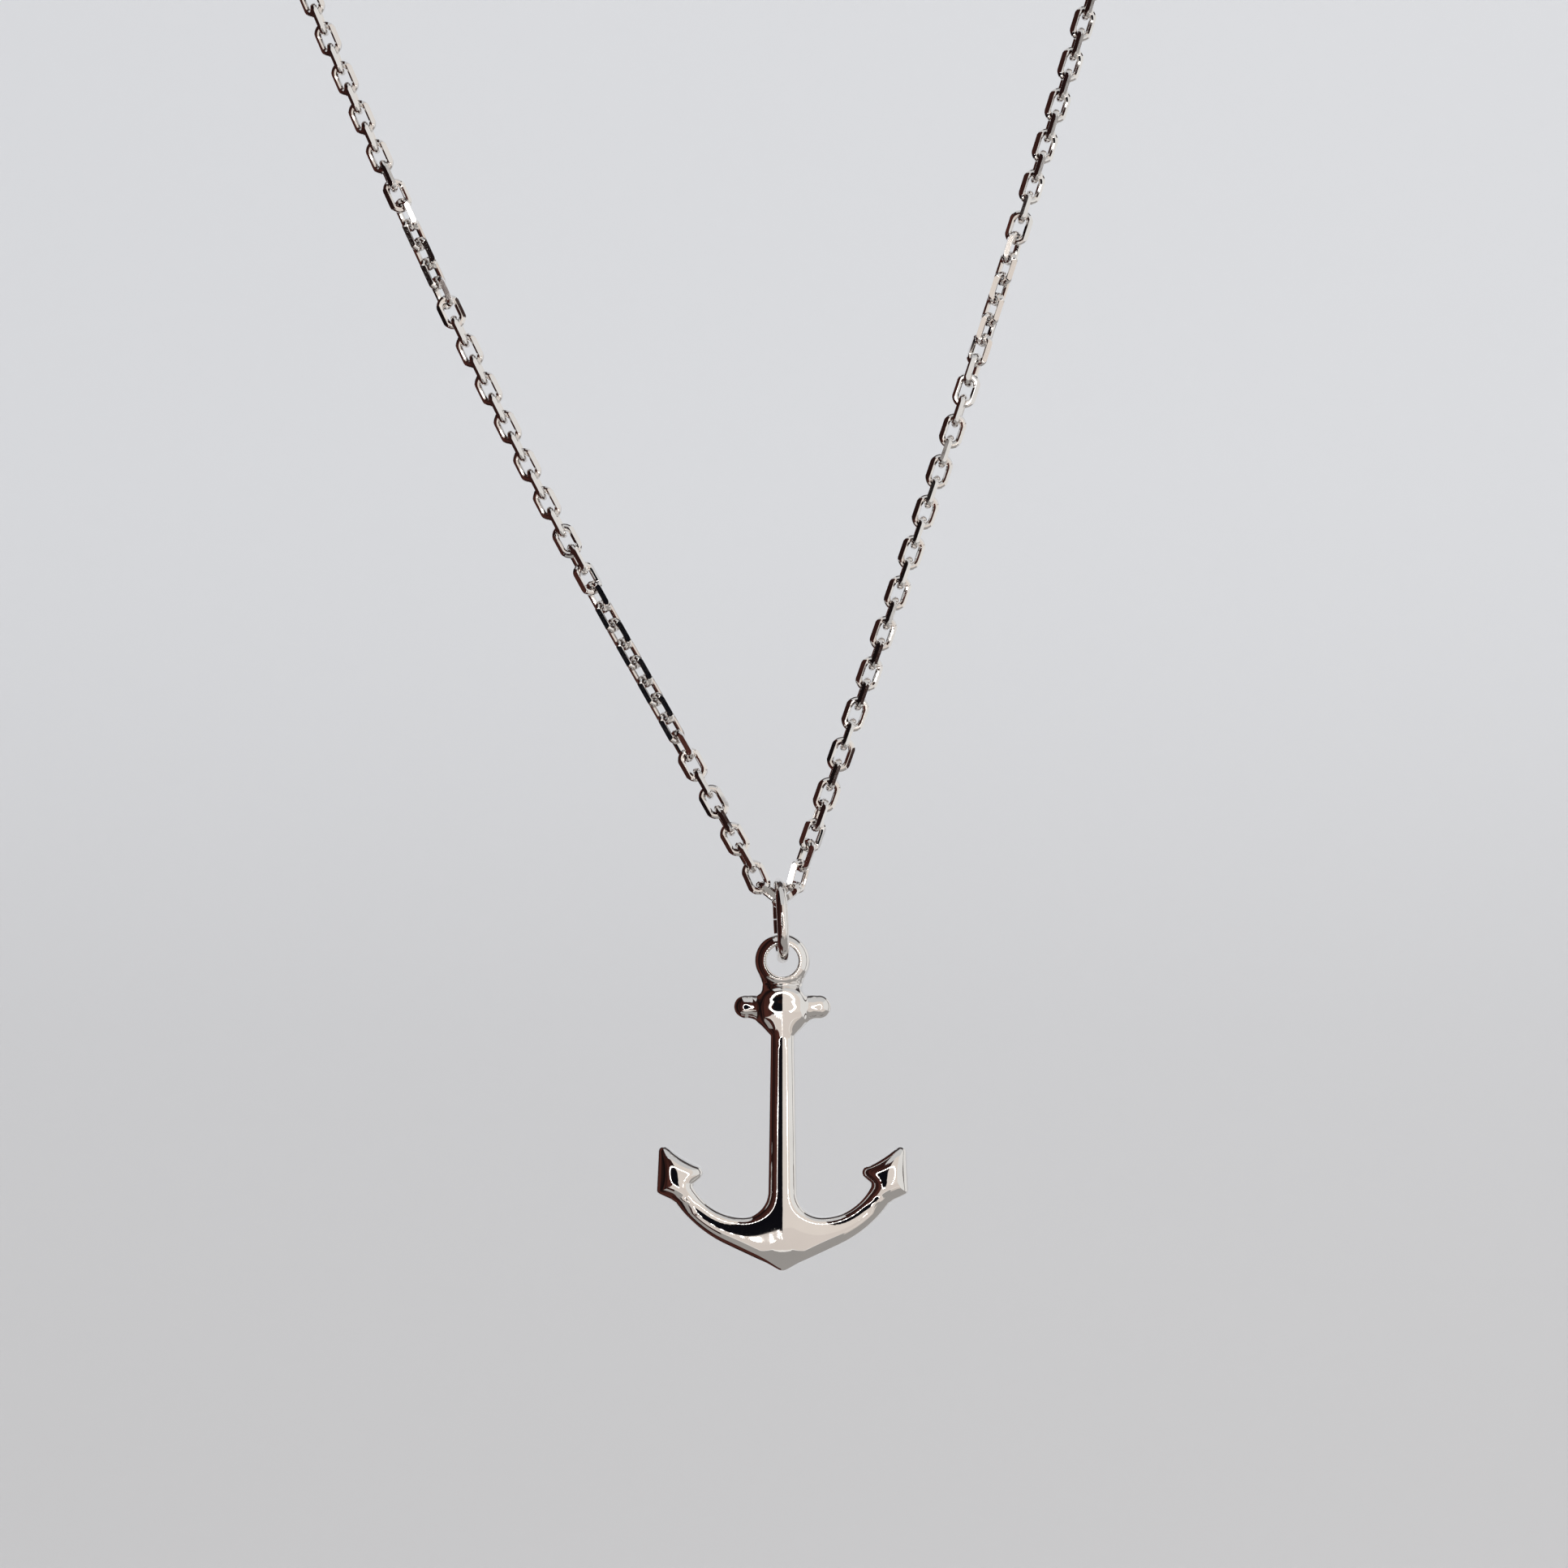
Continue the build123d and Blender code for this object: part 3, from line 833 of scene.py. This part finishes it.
# Rows of cards below the part, the far ones nearer to the camera, with a bright rim
under_grey = (0.34, 0.325, 0.31)
card("card_under", (cx - 500, -280, under_z), (1000, 125, 0), under_grey)
card("card_under_middle", (cx - 110, -360, under_z), (220, 80, 0), under_grey)
card("card_under_far_right", (cx + 110, -360, under_z), (390, 80, 0), (0.66, 0.60, 0.55))
card("card_under_far_left", (cx - 500, -360, under_z), (390, 80, 0))
card("card_under_right", (cx - 25, -155, under_z), (525, 415, 0), under_grey)
card("card_under_left", (cx - 500, -155, under_z), (475, 415, 0))
card("card_under_rim", (cx - 500, -372, under_z), (1000, 12, 0), (0.95, 0.92, 0.88))
card("card_over", (cx - 500, -560, cz + 480), (1000, 560, 0), (0.62, 0.62, 0.62))
card("card_over_back", (cx - 500, 10, cz + 470), (1000, 260, 0), (0.06, 0.05, 0.05))
card("card_phone", (cx - 115, cy - 4, cz - 158), (117, 0, 216), (0.004, 0.004, 0.006))

# Lamps in a ring just in front of the camera and a little below it, with a gap in degrees
LAMP_RADIUS, LAMP_DROP, LAMP_COUNT, LAMP_SIDES = 137.0, 38, 46, 12
LAMP_HALF_LENGTH, LAMP_HALF_WIDTH = 12.0, 2.6
LAMP_GAP = (272, 308)
LAMP_TONE, LAMP_STRENGTH, BAND_STRENGTH = (1.0, 0.98, 0.95), 9.0, 1.6


def ring_of_lamps():
    """Ring of long lamps round the camera, joined by a soft band over its upper half."""
    middle_z = cz - LAMP_DROP
    points, faces = [], []
    for k in range(LAMP_COUNT):
        a = 2 * math.pi * k / LAMP_COUNT
        if LAMP_GAP[0] < math.degrees(a) < LAMP_GAP[1]:
            continue
        base = len(points)
        for m in range(LAMP_SIDES):
            b = 2 * math.pi * m / LAMP_SIDES
            out, side = LAMP_RADIUS + LAMP_HALF_LENGTH * math.cos(b), LAMP_HALF_WIDTH * math.sin(b)
            x, z = out * math.cos(a) - side * math.sin(a), out * math.sin(a) + side * math.cos(a)
            points.append((cx + x, cy + 2, middle_z + z))
        faces.append(tuple(range(base, base + LAMP_SIDES)))
    tone = glow("ring_of_lamps_tone", LAMP_TONE, LAMP_STRENGTH)
    mirrored_only("ring_of_lamps", points, faces, tone)
    half_band = 0.8 * LAMP_HALF_LENGTH
    points, faces = [], []
    for k, a in enumerate(np.radians(np.linspace(-10, 200, 64))):
        for out in (LAMP_RADIUS - half_band, LAMP_RADIUS + half_band):
            points.append((cx + out * math.cos(a), cy + 1, middle_z + out * math.sin(a)))
        if k:
            faces.append((2 * k - 2, 2 * k - 1, 2 * k + 1, 2 * k))
    mirrored_only("ring_band", points, faces, glow("ring_band_tone", LAMP_TONE, BAND_STRENGTH))


ring_of_lamps()

SOFT_POWER = 3.6


def area_light(name, place, target, side, color):
    """Square soft light, aimed at a point and not seen itself."""
    data = bpy.data.lights.new(name, "AREA")
    data.shape = "RECTANGLE"
    data.size = data.size_y = side * MM
    data.energy = SOFT_POWER
    data.color = color
    lamp = bpy.data.objects.new(name, data)
    lamp.location = Vector(place) * MM
    aim = Vector(target) - Vector(place)
    lamp.rotation_euler = aim.to_track_quat("-Z", "Y").to_euler()
    lamp.visible_camera = False
    lamp.visible_glossy = False
    bpy.context.scene.collection.objects.link(lamp)


area_light("soft_right", (750, -250, 250), (0, -60, -100), 900, (1.0, 0.98, 0.95))
area_light("soft_top", (0, -150, 900), (0, -40, -80), 1400, (0.97, 0.98, 1.0))

world = bpy.data.worlds.new("soft_studio")
world.use_nodes = True
sky = world.node_tree.nodes["Background"]
sky.inputs["Color"].default_value = (0.86, 0.87, 0.885, 1)
sky.inputs["Strength"].default_value = 0.75
bpy.context.scene.world = world
bpy.context.scene.view_settings.view_transform = "Standard"

camera_data = bpy.data.cameras.new("camera")
camera_data.lens = SENSOR_WIDTH / 2 * CAMERA_DISTANCE / HALF_FRAME
camera_data.sensor_width = SENSOR_WIDTH
camera_data.clip_start = 0.01
camera_data.clip_end = 20.0
camera = bpy.data.objects.new("camera", camera_data)
camera.location = Vector(CAMERA) * MM
camera.rotation_euler = (math.pi / 2, 0, 0)
bpy.context.scene.collection.objects.link(camera)
bpy.context.scene.camera = camera
